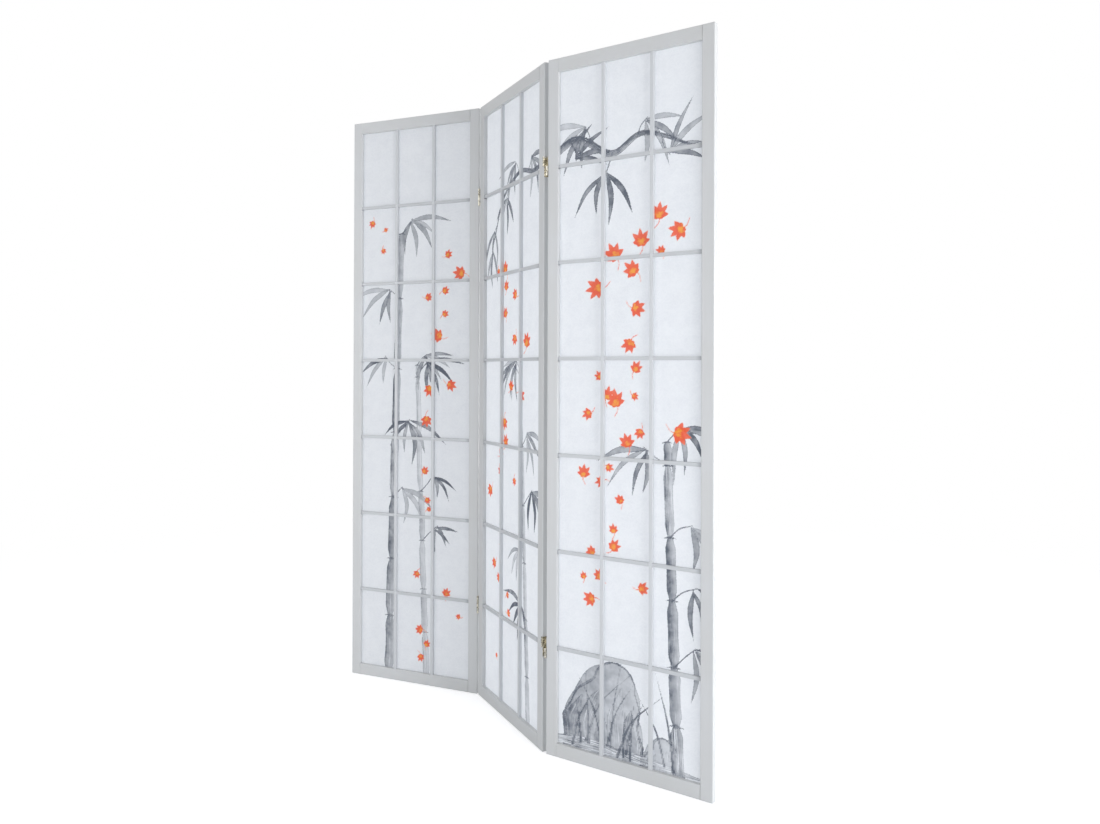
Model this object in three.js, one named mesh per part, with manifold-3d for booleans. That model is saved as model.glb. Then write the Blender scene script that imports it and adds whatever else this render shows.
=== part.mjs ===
// Folding room screen of three lattice panels, joined by double-action hinges.
// Millimetres, +Z up, front towards -Y. The origin is on the floor, under the middle of the
// screen as it stands folded in a zigzag.
import * as THREE from 'three';
import { mergeVertices } from 'three/addons/utils/BufferGeometryUtils.js';
import Module from 'manifold-3d';

const wasm = await Module();
wasm.setup();

// ---------------------------------------------------------------- driving dimensions

// One panel: two full-height stiles with two rails tenoned between them.
const PANEL_WIDTH = 440;
const PANEL_HEIGHT = 1750;
const PANEL_THICKNESS = 18;
const STILE_WIDTH = 30;
const RAIL_HEIGHT = 34;
const EDGE_RADIUS = 1.5;

// The stub tenon on each end of a rail, with a shoulder at the rail's outer edge and one below
// the paper's groove.
const RAIL_TENON_LENGTH = 18;
const RAIL_TENON_THICKNESS = 6;
const RAIL_OUTER_SHOULDER = 5;
const RAIL_GROOVE_SHOULDER = 2.5;

// The lattice: square bars half-lapped where they cross, set a little behind the frame's face.
const COLUMNS = 3;
const ROWS = 7;
const BAR_WIDTH = 8.5;
const BAR_DEPTH = 8;
const BAR_RECESS = 2.5;
const BAR_TENON = 5;

// A level bar sits high in its mortise: how far the mortise runs on below it.
const MORTISE_RELIEF = 2.2;

// The sheet of paper behind the lattice, with its four edges in a saw-cut groove.
const PAPER_THICKNESS = 0.5;
const PAPER_EDGE = 4.7;

// How the screen stands: the left joint is folded to the front, the right one to the back.
const LEFT_FOLD_DEGREES = 43.3;
const RIGHT_FOLD_DEGREES = 31.7;

// Double-action hinge: a leaf on each stile's edge, and two straps that cross between them.
const HINGE_HEIGHT = 50;
const HINGE_INSET = 267;
const LEAF_THICKNESS = 1;
const LEAF_MARGIN = 0.5;
const STRAP_THICKNESS = 1;
const PIN_RADIUS = 1.2;
const PIN_HEAD_RADIUS = 1.9;
const PIN_HEAD_HEIGHT = 1;
const KNUCKLE_WALL = 1;
const SCREWS_PER_LEAF = 3;
const SCREW_PITCH = 17;
const SCREW_HOLE_RADIUS = 1.9;
const COUNTERSINK_RADIUS = 3.4;

// Clearances: between glued or fitted wood, under a leaf, and between moving metal.
const WOOD_FIT = 0.3;
const LAP_FIT = 0.25;
const LEAF_SEAT = 0.2;
const RUNNING_GAP = 0.3;

// How far a countersink's cutter stands proud of the face that it opens.
const SINK_OVERRUN = 0.1;

// Facets of the round forms.
const EDGE_STEPS = 2;
const KNUCKLE_SIDES = 16;
const HOLE_SIDES = 12;

// ---------------------------------------------------------------- worked-out sizes

const FRONT = -PANEL_THICKNESS / 2;
const BACK = PANEL_THICKNESS / 2;
const BAR_FRONT = FRONT + BAR_RECESS;
const BAR_BACK = BAR_FRONT + BAR_DEPTH;
const LAP_LEVEL = (BAR_FRONT + BAR_BACK) / 2;
const PAPER_FRONT = BAR_BACK + WOOD_FIT;
const PAPER_BACK = PAPER_FRONT + PAPER_THICKNESS;
const GROOVE_DEPTH = PAPER_EDGE + WOOD_FIT;

const PANE_WIDTH = (PANEL_WIDTH - 2 * STILE_WIDTH - (COLUMNS - 1) * BAR_WIDTH) / COLUMNS;
const PANE_HEIGHT = (PANEL_HEIGHT - 2 * RAIL_HEIGHT - (ROWS - 1) * BAR_WIDTH) / ROWS;
const verticalBarCentres = [];
for (let i = 1; i < COLUMNS; i += 1) {
  verticalBarCentres.push(STILE_WIDTH + i * (PANE_WIDTH + BAR_WIDTH) - BAR_WIDTH / 2);
}
const horizontalBarCentres = [];
for (let i = 1; i < ROWS; i += 1) {
  horizontalBarCentres.push(RAIL_HEIGHT + i * (PANE_HEIGHT + BAR_WIDTH) - BAR_WIDTH / 2);
}

// Hinge, seen from above when the screen is flat: the joint's middle is x = 0, each stile's edge
// is half a joint gap away, and a pin axis stands a barrel's radius proud of each face.
const BORE_RADIUS = PIN_RADIUS + RUNNING_GAP;
const KNUCKLE_RADIUS = BORE_RADIUS + KNUCKLE_WALL;
const LEAF_INNER = STRAP_THICKNESS / 2 + RUNNING_GAP;
const LEAF_OUTER = LEAF_INNER + LEAF_THICKNESS;
const JOINT_GAP = 2 * (LEAF_OUTER + LEAF_SEAT);
const PIN_AXIS = PANEL_THICKNESS / 2 + KNUCKLE_RADIUS;
const HALF_HINGE = HINGE_HEIGHT / 2;
const KNUCKLE_LENGTH = (HALF_HINGE - 3 * RUNNING_GAP) / 3;
const KNUCKLE_PITCH = KNUCKLE_LENGTH + RUNNING_GAP;
const FIRST_KNUCKLE = RUNNING_GAP + KNUCKLE_LENGTH / 2;
const LEAF_KNUCKLE = FIRST_KNUCKLE + KNUCKLE_PITCH;
const LAST_KNUCKLE = LEAF_KNUCKLE + KNUCKLE_PITCH;

// ---------------------------------------------------------------- materials

const materials = {
  frame: new THREE.MeshStandardMaterial({ color: 0xe3e5e6, roughness: 0.45, metalness: 0 }),
  lattice: new THREE.MeshStandardMaterial({ color: 0xe6e8e9, roughness: 0.5, metalness: 0 }),
  paper: new THREE.MeshStandardMaterial({ color: 0xeef1f6, roughness: 0.9, metalness: 0 }),
  brass: new THREE.MeshStandardMaterial({ color: 0xb0904f, roughness: 0.3, metalness: 1 }),
};

// ---------------------------------------------------------------- solids

function toSolid(geometry) {
  const bare = geometry.index ? geometry.toNonIndexed() : geometry.clone();
  bare.deleteAttribute('normal');
  bare.deleteAttribute('uv');
  const merged = mergeVertices(bare, 1e-4);
  const vertProperties = new Float32Array(merged.attributes.position.array);
  const triVerts = new Uint32Array(merged.index.array);
  return new wasm.Manifold(new wasm.Mesh({ numProp: 3, vertProperties, triVerts }));
}

function toGeometry(solid) {
  const mesh = solid.getMesh();
  const geometry = new THREE.BufferGeometry();
  geometry.setAttribute('position', new THREE.BufferAttribute(mesh.vertProperties, 3));
  geometry.setIndex(new THREE.BufferAttribute(mesh.triVerts, 1));
  const faceted = geometry.toNonIndexed();
  faceted.computeVertexNormals();
  return faceted;
}

function joined(solids) {
  return solids.reduce((whole, piece) => whole.add(piece));
}

function cut(solid, tools) {
  return tools.reduce((rest, tool) => rest.subtract(tool), solid);
}

// A block between two limits on each axis.
function block([x0, x1], [y0, y1], [z0, z1]) {
  const geometry = new THREE.BoxGeometry(x1 - x0, y1 - y0, z1 - z0);
  geometry.translate((x0 + x1) / 2, (y0 + y1) / 2, (z0 + z1) / 2);
  return toSolid(geometry);
}

// A round bar standing on a point of the plan, centred at a height.
function roundBar(x, y, z, radius, length, sides) {
  const geometry = new THREE.CylinderGeometry(radius, radius, length, sides);
  geometry.rotateX(Math.PI / 2);
  geometry.translate(x, y, z);
  return toSolid(geometry);
}

// A rectangle about the origin with rounded corners.
function easedRectangle(width, depth, radius) {
  const [x, y] = [width / 2, depth / 2];
  const shape = new THREE.Shape();
  shape.absarc(x - radius, y - radius, radius, 0, Math.PI / 2);
  shape.absarc(radius - x, y - radius, radius, Math.PI / 2, Math.PI);
  shape.absarc(radius - x, radius - y, radius, Math.PI, 1.5 * Math.PI);
  shape.absarc(x - radius, radius - y, radius, 1.5 * Math.PI, 2 * Math.PI);
  return shape;
}

// Limits of a span of a given length about its centre.
function about(centre, length) {
  return [centre - length / 2, centre + length / 2];
}

// ---------------------------------------------------------------- the frame of a panel
// In a panel's own frame x runs from its left edge, y = 0 is its middle plane, z from the floor.

// The eased bar that a stile is made from, with its ends eased too.
function stileBar() {
  const inset = EDGE_RADIUS;
  const shape = easedRectangle(STILE_WIDTH, PANEL_THICKNESS, EDGE_RADIUS);
  const geometry = new THREE.ExtrudeGeometry(shape, {
    depth: PANEL_HEIGHT - 2 * inset,
    curveSegments: EDGE_STEPS,
    bevelEnabled: true,
    bevelThickness: inset,
    bevelSize: inset / 2,
    bevelOffset: -inset / 2,
    bevelSegments: EDGE_STEPS,
  });
  geometry.translate(0, 0, inset);
  return geometry;
}

// How far each cut reaches into a stile whose inner edge is at `face`, on the side `inwards`.
function stileCuts(face, inwards) {
  const reach = (depth) => [face, face - inwards * depth].sort((a, b) => a - b);
  const grooveSpan = [RAIL_HEIGHT - GROOVE_DEPTH, PANEL_HEIGHT - RAIL_HEIGHT + GROOVE_DEPTH];
  const cuts = [block(reach(GROOVE_DEPTH), [PAPER_FRONT - WOOD_FIT, PAPER_BACK + WOOD_FIT], grooveSpan)];
  for (const centre of horizontalBarCentres) {
    const [low, high] = about(centre, BAR_WIDTH + 2 * WOOD_FIT);
    cuts.push(block(
      reach(BAR_TENON + WOOD_FIT),
      [BAR_FRONT - WOOD_FIT, BAR_BACK + WOOD_FIT],
      [low - MORTISE_RELIEF, high],
    ));
  }
  for (const [low, high] of [railTenonSpan('bottom'), railTenonSpan('top')]) {
    cuts.push(block(
      reach(RAIL_TENON_LENGTH + WOOD_FIT),
      about(0, RAIL_TENON_THICKNESS + 2 * WOOD_FIT),
      [low - WOOD_FIT, high + WOOD_FIT],
    ));
  }
  return cuts;
}

function stile(side) {
  const centre = side === 'left' ? STILE_WIDTH / 2 : PANEL_WIDTH - STILE_WIDTH / 2;
  const inwards = side === 'left' ? 1 : -1;
  const bar = stileBar();
  bar.translate(centre, 0, 0);
  return cut(toSolid(bar), stileCuts(centre + inwards * STILE_WIDTH / 2, inwards));
}

// Lowest and highest point of a rail's tenon, which stays clear of the paper's groove.
function railTenonSpan(end) {
  const outer = RAIL_OUTER_SHOULDER;
  const inner = RAIL_HEIGHT - GROOVE_DEPTH - WOOD_FIT - RAIL_GROOVE_SHOULDER;
  return end === 'bottom' ? [outer, inner] : [PANEL_HEIGHT - inner, PANEL_HEIGHT - outer];
}

function rail(end) {
  const inside = end === 'bottom' ? RAIL_HEIGHT : PANEL_HEIGHT - RAIL_HEIGHT;
  const inwards = end === 'bottom' ? 1 : -1;
  const length = PANEL_WIDTH - 2 * (STILE_WIDTH + WOOD_FIT);
  const bar = new THREE.ExtrudeGeometry(easedRectangle(RAIL_HEIGHT, PANEL_THICKNESS, EDGE_RADIUS), {
    depth: length,
    curveSegments: EDGE_STEPS,
    bevelEnabled: false,
  });
  bar.rotateY(Math.PI / 2);
  bar.translate(STILE_WIDTH + WOOD_FIT, 0, inside - inwards * RAIL_HEIGHT / 2);

  const tenons = block(
    [STILE_WIDTH - RAIL_TENON_LENGTH, PANEL_WIDTH - STILE_WIDTH + RAIL_TENON_LENGTH],
    about(0, RAIL_TENON_THICKNESS),
    railTenonSpan(end),
  );
  const reach = (depth) => [inside, inside - inwards * depth].sort((a, b) => a - b);
  const cuts = [block(
    [0, PANEL_WIDTH],
    [PAPER_FRONT - WOOD_FIT, PAPER_BACK + WOOD_FIT],
    reach(GROOVE_DEPTH),
  )];
  for (const centre of verticalBarCentres) {
    cuts.push(block(
      about(centre, BAR_WIDTH + 2 * WOOD_FIT),
      [BAR_FRONT - WOOD_FIT, BAR_BACK + WOOD_FIT],
      reach(BAR_TENON + WOOD_FIT),
    ));
  }
  return cut(joined([toSolid(bar), tenons]), cuts);
}

// ---------------------------------------------------------------- the lattice and the paper

// An upright bar, notched from behind where each level bar crosses.
function verticalBar(centre) {
  const bar = block(
    about(centre, BAR_WIDTH),
    [BAR_FRONT, BAR_BACK],
    [RAIL_HEIGHT - BAR_TENON, PANEL_HEIGHT - RAIL_HEIGHT + BAR_TENON],
  );
  const notches = horizontalBarCentres.map((level) => block(
    about(centre, 2 * BAR_WIDTH),
    [LAP_LEVEL - LAP_FIT / 2, BAR_BACK + BAR_DEPTH],
    about(level, BAR_WIDTH + 2 * LAP_FIT),
  ));
  return cut(bar, notches);
}

// A level bar, notched from the front where each upright bar crosses.
function horizontalBar(level) {
  const bar = block(
    [STILE_WIDTH - BAR_TENON, PANEL_WIDTH - STILE_WIDTH + BAR_TENON],
    [BAR_FRONT, BAR_BACK],
    about(level, BAR_WIDTH),
  );
  const notches = verticalBarCentres.map((centre) => block(
    about(centre, BAR_WIDTH + 2 * LAP_FIT),
    [BAR_FRONT - BAR_DEPTH, LAP_LEVEL + LAP_FIT / 2],
    about(level, 2 * BAR_WIDTH),
  ));
  return cut(bar, notches);
}

function paper() {
  return block(
    [STILE_WIDTH - PAPER_EDGE, PANEL_WIDTH - STILE_WIDTH + PAPER_EDGE],
    [PAPER_FRONT, PAPER_BACK],
    [RAIL_HEIGHT - PAPER_EDGE, PANEL_HEIGHT - RAIL_HEIGHT + PAPER_EDGE],
  );
}

// ---------------------------------------------------------------- the double-action hinge
// In the hinge's own frame the joint lies flat, x = 0 is the middle of the gap and z = 0 the
// hinge's middle. This leaf sits on the left panel's edge: it holds the front pin of the upper
// strap and the back pin of the lower one. Turned half round about z it is the right-hand leaf.

function screwHole(z) {
  const depth = LEAF_THICKNESS;
  const sink = new THREE.CylinderGeometry(
    COUNTERSINK_RADIUS, SCREW_HOLE_RADIUS, depth, HOLE_SIDES,
  );
  sink.rotateZ(-Math.PI / 2);
  sink.translate(-LEAF_INNER - depth / 2 + SINK_OVERRUN, 0, z);
  const hole = new THREE.CylinderGeometry(
    SCREW_HOLE_RADIUS, SCREW_HOLE_RADIUS, 3 * depth, HOLE_SIDES,
  );
  hole.rotateZ(-Math.PI / 2);
  hole.translate(-LEAF_INNER - depth / 2, 0, z);
  return [toSolid(sink), toSolid(hole)];
}

function hingeLeaf() {
  const sheet = [-LEAF_OUTER, -LEAF_INNER];
  const pieces = [block(sheet, about(0, PANEL_THICKNESS - 2 * LEAF_MARGIN), about(0, HINGE_HEIGHT))];
  const holes = [];
  for (const [side, level] of [[-1, LEAF_KNUCKLE], [1, -LEAF_KNUCKLE]]) {
    const web = [0, side * PIN_AXIS].sort((a, b) => a - b);
    pieces.push(block(sheet, web, about(level, KNUCKLE_LENGTH)));
    pieces.push(roundBar(0, side * PIN_AXIS, level, KNUCKLE_RADIUS, KNUCKLE_LENGTH, KNUCKLE_SIDES));
    holes.push(roundBar(0, side * PIN_AXIS, level, BORE_RADIUS, 2 * KNUCKLE_LENGTH, KNUCKLE_SIDES));
  }
  for (let i = 0; i < SCREWS_PER_LEAF; i += 1) {
    holes.push(...screwHole((i - (SCREWS_PER_LEAF - 1) / 2) * SCREW_PITCH));
  }
  return cut(joined(pieces), holes);
}

// The upper strap, which turns half round about y to make the lower one. Its two pins are fast
// in its own knuckles. A strap that is carried by the middle panel lets go of the swinging
// panel's leaf, so its pin there is left as stubs inside its knuckles.
function hingeStrap(pinnedSides) {
  const sheet = about(0, STRAP_THICKNESS);
  const window = KNUCKLE_LENGTH + 2 * RUNNING_GAP;
  const plate = block(sheet, about(0, 2 * PIN_AXIS), [RUNNING_GAP, HALF_HINGE]);
  const notches = [];
  const pieces = [];
  for (const side of [-1, 1]) {
    const axis = side * PIN_AXIS;
    notches.push(block(
      about(0, 2 * STRAP_THICKNESS),
      about(axis, 2 * (KNUCKLE_RADIUS + RUNNING_GAP)),
      about(LEAF_KNUCKLE, window),
    ));
    for (const level of [FIRST_KNUCKLE, LAST_KNUCKLE]) {
      pieces.push(roundBar(0, axis, level, KNUCKLE_RADIUS, KNUCKLE_LENGTH, KNUCKLE_SIDES));
    }
    if (pinnedSides.includes(side)) {
      const pinLength = window + KNUCKLE_LENGTH;
      pieces.push(roundBar(0, axis, LEAF_KNUCKLE, PIN_RADIUS, pinLength, KNUCKLE_SIDES));
    }
    const head = new THREE.SphereGeometry(PIN_HEAD_RADIUS, HOLE_SIDES, HOLE_SIDES / 2);
    head.rotateX(Math.PI / 2);
    head.scale(1, 1, PIN_HEAD_HEIGHT / PIN_HEAD_RADIUS);
    head.translate(0, axis, HALF_HINGE);
    pieces.push(toSolid(head));
  }
  return joined([cut(plate, notches), ...pieces]);
}

// ---------------------------------------------------------------- assembly

function addMesh(parent, name, geometry, material) {
  const mesh = new THREE.Mesh(geometry, material);
  mesh.name = name;
  parent.add(mesh);
  return mesh;
}

// The thirteen pieces of one panel, in that panel's own frame.
function addPanel(parent, name) {
  for (const side of ['left', 'right']) {
    addMesh(parent, `${name}_stile_${side}`, toGeometry(stile(side)), materials.frame);
  }
  for (const end of ['top', 'bottom']) {
    addMesh(parent, `${name}_rail_${end}`, toGeometry(rail(end)), materials.frame);
  }
  verticalBarCentres.forEach((centre, i) => {
    addMesh(parent, `${name}_bar_vertical_${i + 1}`, toGeometry(verticalBar(centre)), materials.lattice);
  });
  horizontalBarCentres.forEach((level, i) => {
    addMesh(parent, `${name}_bar_level_${i + 1}`, toGeometry(horizontalBar(level)), materials.lattice);
  });
  addMesh(parent, `${name}_paper`, toGeometry(paper()), materials.paper);
}

// A group whose own origin is a pivot, so that turning it folds what it carries.
function addPivot(parent, name, x, y, degrees) {
  const pivot = new THREE.Group();
  pivot.name = name;
  pivot.position.set(x, y, 0);
  pivot.rotation.z = THREE.MathUtils.degToRad(degrees);
  parent.add(pivot);
  return pivot;
}

// Places things given from a joint's middle into a group whose origin is one of its pin axes.
function addFromJoint(pivot, axisY) {
  const group = new THREE.Group();
  group.position.set(0, -axisY, 0);
  pivot.add(group);
  return group;
}

// The hinges of one joint. `carrier` holds what stays on the middle panel and `swinging` what
// turns with the outer one, both measured from the joint's middle.
function addHinges(joint, carrier, swinging) {
  const outer = joint === 'left' ? -1 : 1;
  const leafGeometry = toGeometry(hingeLeaf());
  const fullStrap = toGeometry(hingeStrap([-1, 1]));
  const openStrap = toGeometry(hingeStrap([-outer]));
  const levels = { upper: PANEL_HEIGHT - HINGE_INSET, lower: HINGE_INSET };
  for (const [place, level] of Object.entries(levels)) {
    const name = `${joint}_hinge_${place}`;
    const outerLeaf = addMesh(swinging, `${name}_outer_leaf`, leafGeometry, materials.brass);
    const innerLeaf = addMesh(carrier, `${name}_inner_leaf`, leafGeometry, materials.brass);
    const fixedStrap = addMesh(carrier, `${name}_upper_strap`, openStrap, materials.brass);
    const movingStrap = addMesh(swinging, `${name}_lower_strap`, fullStrap, materials.brass);
    (joint === 'left' ? innerLeaf : outerLeaf).rotation.z = Math.PI;
    movingStrap.rotation.y = Math.PI;
    for (const piece of [outerLeaf, innerLeaf, fixedStrap, movingStrap]) piece.position.z = level;
  }
}

function buildScreen() {
  // Everything is laid out from the middle panel, then turned and centred.
  const layout = new THREE.Group();
  addPanel(layout, 'middle');

  const leftJoint = new THREE.Group();
  leftJoint.position.x = -JOINT_GAP / 2;
  layout.add(leftJoint);
  const leftPivot = addPivot(leftJoint, 'left_fold_axis', 0, -PIN_AXIS, LEFT_FOLD_DEGREES);
  const leftSide = addFromJoint(leftPivot, -PIN_AXIS);
  addPivot(leftSide, 'left_reverse_fold_axis', 0, PIN_AXIS, 0);
  addHinges('left', leftJoint, leftSide);
  const leftPanel = new THREE.Group();
  leftPanel.position.x = -JOINT_GAP / 2 - PANEL_WIDTH;
  leftSide.add(leftPanel);
  addPanel(leftPanel, 'left');

  const rightJoint = new THREE.Group();
  rightJoint.position.x = PANEL_WIDTH + JOINT_GAP / 2;
  layout.add(rightJoint);
  const rightPivot = addPivot(rightJoint, 'right_fold_axis', 0, PIN_AXIS, RIGHT_FOLD_DEGREES);
  const rightSide = addFromJoint(rightPivot, PIN_AXIS);
  addPivot(rightSide, 'right_reverse_fold_axis', 0, -PIN_AXIS, 0);
  addHinges('right', rightJoint, rightSide);
  const rightPanel = new THREE.Group();
  rightPanel.position.x = JOINT_GAP / 2;
  rightSide.add(rightPanel);
  addPanel(rightPanel, 'right');

  // Turn the zigzag so that its two free edges stand level from left to right.
  const screen = new THREE.Group();
  screen.add(layout);
  screen.updateMatrixWorld(true);
  const leftEnd = leftPanel.localToWorld(new THREE.Vector3(0, FRONT, 0));
  const rightEnd = rightPanel.localToWorld(new THREE.Vector3(PANEL_WIDTH, FRONT, 0));
  layout.rotation.z = -Math.atan2(rightEnd.y - leftEnd.y, rightEnd.x - leftEnd.x);
  screen.updateMatrixWorld(true);

  const bounds = new THREE.Box3().setFromObject(screen, true);
  const middle = bounds.getCenter(new THREE.Vector3());
  layout.position.set(-middle.x, -middle.y, -bounds.min.z);
  screen.updateMatrixWorld(true);
  return screen;
}

export default buildScreen();
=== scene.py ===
# %% [markdown]
# # A folding paper screen
# Three white lattice panels stand in a zigzag, joined by brass hinges that fold either way. The
# frames, bars and hinges come ready from the solid model. This lesson dresses them: it paints the
# wood, makes the sheets of printed fibre paper, drives the screws of the hinges, and sets up a
# plain studio.

# %% Load the solid model
import math
import random

import bmesh
import bpy
import numpy as np
from mathutils import Matrix, Vector


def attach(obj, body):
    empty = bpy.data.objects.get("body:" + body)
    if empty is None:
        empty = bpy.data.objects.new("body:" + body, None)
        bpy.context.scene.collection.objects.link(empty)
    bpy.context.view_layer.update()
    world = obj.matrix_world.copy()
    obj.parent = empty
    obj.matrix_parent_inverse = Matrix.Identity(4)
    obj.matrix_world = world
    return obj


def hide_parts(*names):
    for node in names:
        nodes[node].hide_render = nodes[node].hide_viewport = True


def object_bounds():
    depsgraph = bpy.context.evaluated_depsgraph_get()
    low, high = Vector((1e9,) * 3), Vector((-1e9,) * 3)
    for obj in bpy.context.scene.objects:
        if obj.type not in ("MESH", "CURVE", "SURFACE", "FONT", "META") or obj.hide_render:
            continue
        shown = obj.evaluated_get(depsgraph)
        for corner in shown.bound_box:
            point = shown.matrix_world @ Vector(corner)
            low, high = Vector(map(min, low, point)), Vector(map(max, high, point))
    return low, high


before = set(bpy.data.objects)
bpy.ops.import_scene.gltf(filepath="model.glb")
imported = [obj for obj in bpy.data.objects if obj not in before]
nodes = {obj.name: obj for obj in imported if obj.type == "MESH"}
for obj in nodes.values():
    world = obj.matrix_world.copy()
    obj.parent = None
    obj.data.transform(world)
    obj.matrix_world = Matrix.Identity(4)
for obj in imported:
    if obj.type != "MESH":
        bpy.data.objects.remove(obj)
cad_box = [list(corner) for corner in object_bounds()]
MM = 0.001
PANELS = ("left", "middle", "right")
print("solid model:", len(nodes), "nodes, box", [[round(c, 4) for c in corner] for corner in cad_box])

# %% [markdown]
# ## The camera
# The picture was taken from the right of the screen, at about mid height, with a lens that shows
# strong perspective. The place, turn and lens below were solved from the corners of the panels.
# The shift stands for a picture that was cropped a little off its middle.

# %% Place the camera
CAMERA_PLACE = Vector((1.66804, -1.90666, 0.96858))
CAMERA_FORWARD = Vector((-0.68893, 0.72481, 0.00417)).normalized()
CAMERA_ROLL = math.radians(0.216)
FOCAL_LENGTH, SENSOR_WIDTH = 30.04, 36.0  # millimetres
SHIFT_X, SHIFT_Y = 0.0674, -0.0423  # shares of the sensor's width


def camera_turn(forward, roll):
    level = forward.cross(Vector((0, 0, 1))).normalized()
    upright = level.cross(forward)
    right = math.cos(roll) * level + math.sin(roll) * upright
    up = right.cross(forward)
    return Matrix((right, up, -forward)).transposed().to_4x4()


camera = bpy.data.objects.new("camera", bpy.data.cameras.new("camera"))
bpy.context.collection.objects.link(camera)
camera.matrix_world = Matrix.Translation(CAMERA_PLACE) @ camera_turn(CAMERA_FORWARD, CAMERA_ROLL)
camera.data.sensor_width = SENSOR_WIDTH
camera.data.lens = FOCAL_LENGTH
camera.data.shift_x = SHIFT_X
camera.data.shift_y = SHIFT_Y
bpy.context.scene.camera = camera
screen_middle = (Vector(cad_box[0]) + Vector(cad_box[1])) / 2
print("camera:", round((CAMERA_PLACE - screen_middle).length, 2), "m from the screen's middle")

# %% [markdown]
# ## Where each panel stands
# Every panel is turned by its own angle, so a pattern or a new piece needs the panel's own axes:
# x across it, y to its back and z up, from the middle of its sheet of paper. They can be read
# from the solid of the paper, whose longest level direction is the panel's.

# %% Measure the panels


def mesh_points(mesh):
    points = np.empty(len(mesh.vertices) * 3, dtype=np.float32)
    mesh.vertices.foreach_get("co", points)
    return points.reshape(-1, 3)


def vertices_of(name):
    return mesh_points(nodes[name].data).astype(float)


def panel_axes(panel):
    points = vertices_of(f"{panel}_paper")
    middle = (points.min(0) + points.max(0)) / 2
    across = np.linalg.svd(points[:, :2] - middle[:2], full_matrices=False)[2][0]
    across *= np.sign(across[0])
    angle = math.atan2(across[1], across[0])
    return Matrix.Translation(Vector(middle)) @ Matrix.Rotation(angle, 4, "Z"), angle


AXES, ANGLES = {}, {}
for panel in PANELS:
    AXES[panel], ANGLES[panel] = panel_axes(panel)


def in_panel(name, panel):
    """A node's points in a panel's own axes."""
    turn = np.array(AXES[panel].inverted())
    return vertices_of(name) @ turn[:3, :3].T + turn[:3, 3]


sheet_points = in_panel("middle_paper", "middle")
SHEET_WIDTH, _, SHEET_HEIGHT = sheet_points.max(0) - sheet_points.min(0)
stile_points = in_panel("middle_stile_right", "middle")
HALF_OPENING = stile_points[:, 0].min()
HALF_WIDTH = stile_points[:, 0].max()
MID_PLANE = (stile_points[:, 1].max() + stile_points[:, 1].min()) / 2
MIDDLE_HEIGHT = -stile_points[:, 2].min()
print("paper", round(SHEET_WIDTH, 4), "x", round(SHEET_HEIGHT, 4), "m; half a panel", round(HALF_WIDTH, 4),
      "m; its middle is", round(MIDDLE_HEIGHT, 4), "m up")
print("panels turned by", {p: round(math.degrees(a), 2) for p, a in ANGLES.items()})

# %% [markdown]
# ## Two helpers for materials
# Blender's shaders work in linear light, while paint charts and pictures use sRGB, so one
# function turns a hex colour to linear. The other adds a node, sets it up and links it in one
# line, which keeps each material short enough to read.

# %% Colour and node helpers


def linear(hex_colour):
    channels = [int(hex_colour[i:i + 2], 16) / 255 for i in (1, 3, 5)]
    return [c / 12.92 if c <= 0.04045 else ((c + 0.055) / 1.055) ** 2.4 for c in channels] + [1.0]


def add_node(tree, kind, inputs=None, **settings):
    """A new node. inputs holds values or sockets to link; settings are the node's own options."""
    made = tree.nodes.new(kind)
    for name, value in settings.items():
        setattr(made, name, value)
    for name, value in (inputs or {}).items():
        if isinstance(value, bpy.types.NodeSocket):
            tree.links.new(value, made.inputs[name])
        else:
            made.inputs[name].default_value = value
    return made


def new_material(name):
    material = bpy.data.materials.new(name)
    material.use_nodes = True
    material.node_tree.nodes.clear()
    return material, material.node_tree


print("the grey #808080 is", round(linear("#808080")[0], 3), "in linear light")

# %% [markdown]
# ## White satin lacquer on soft wood
# The frames and bars are pine sprayed with white satin lacquer. Under the lacquer the grain still
# telegraphs as faint lines a millimetre or so apart, long along each piece. Over it lies the
# orange peel of the spray, a soft ripple some 3 mm across, and the arrises are painted a shade
# brighter, as a painted highlight. Noise textures give the grain, stretched along the piece, the
# ripple, and wide soft clouds in the coat. The bars' real arrises are eased by a little over half a
# millimetre, and a Bevel node shades them so. The level bars of the lattice get a greyer copy of
# the coat, as painted shade. Their last centimetre or so, where they enter their stiles, is painted
# greyer still, most at the right, as painted shadow of the stiles.

# %% Paint the wood
GRAIN_PITCH = 1.3 * MM
GRAIN_LENGTH = 60 * MM
PEEL_SIZE = 3 * MM
TONE_SIZE = 180 * MM
ARRIS = 0.6 * MM
GRAIN_DEPTH = 0.05 * MM
PEEL_DEPTH = 0.04 * MM
RIGHT, LEFT = 1, -1
# How far from each stile, and how strongly, painted shadow darkens the end of a level bar.
CORNER_REACH = {RIGHT: 16 * MM, LEFT: 6 * MM}
CORNER_SHARE = {RIGHT: 0.45, LEFT: 0.35}
# The second colour is a painted highlight on the arrises, the third painted shade at the ends of the level
# bars.
GRAIN_LINE, ARRIS_HIGHLIGHT, END_SHADE_COLOUR = "#A9A69E", "#E8E9E6", "#74787E"


def painted_end_shade_mask(tree, straight, panel):
    """How much painted shade darkens a level bar near each stile of the panel, from its distance to it."""
    centre = (Matrix.Rotation(-ANGLES[panel], 4, "Z") @ AXES[panel].translation).x
    across = add_node(tree, "ShaderNodeSeparateXYZ", {"Vector": straight}).outputs["X"]
    shades = [add_node(tree, "ShaderNodeMapRange", {
        "Value": across, "From Min": centre + side * (HALF_OPENING - CORNER_REACH[side]),
        "From Max": centre + side * HALF_OPENING, "To Max": CORNER_SHARE[side]},
        interpolation_type="SMOOTHSTEP").outputs["Result"] for side in (RIGHT, LEFT)]
    return add_node(tree, "ShaderNodeMath", {0: shades[0], 1: shades[1]}, operation="ADD").outputs["Value"]


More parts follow.
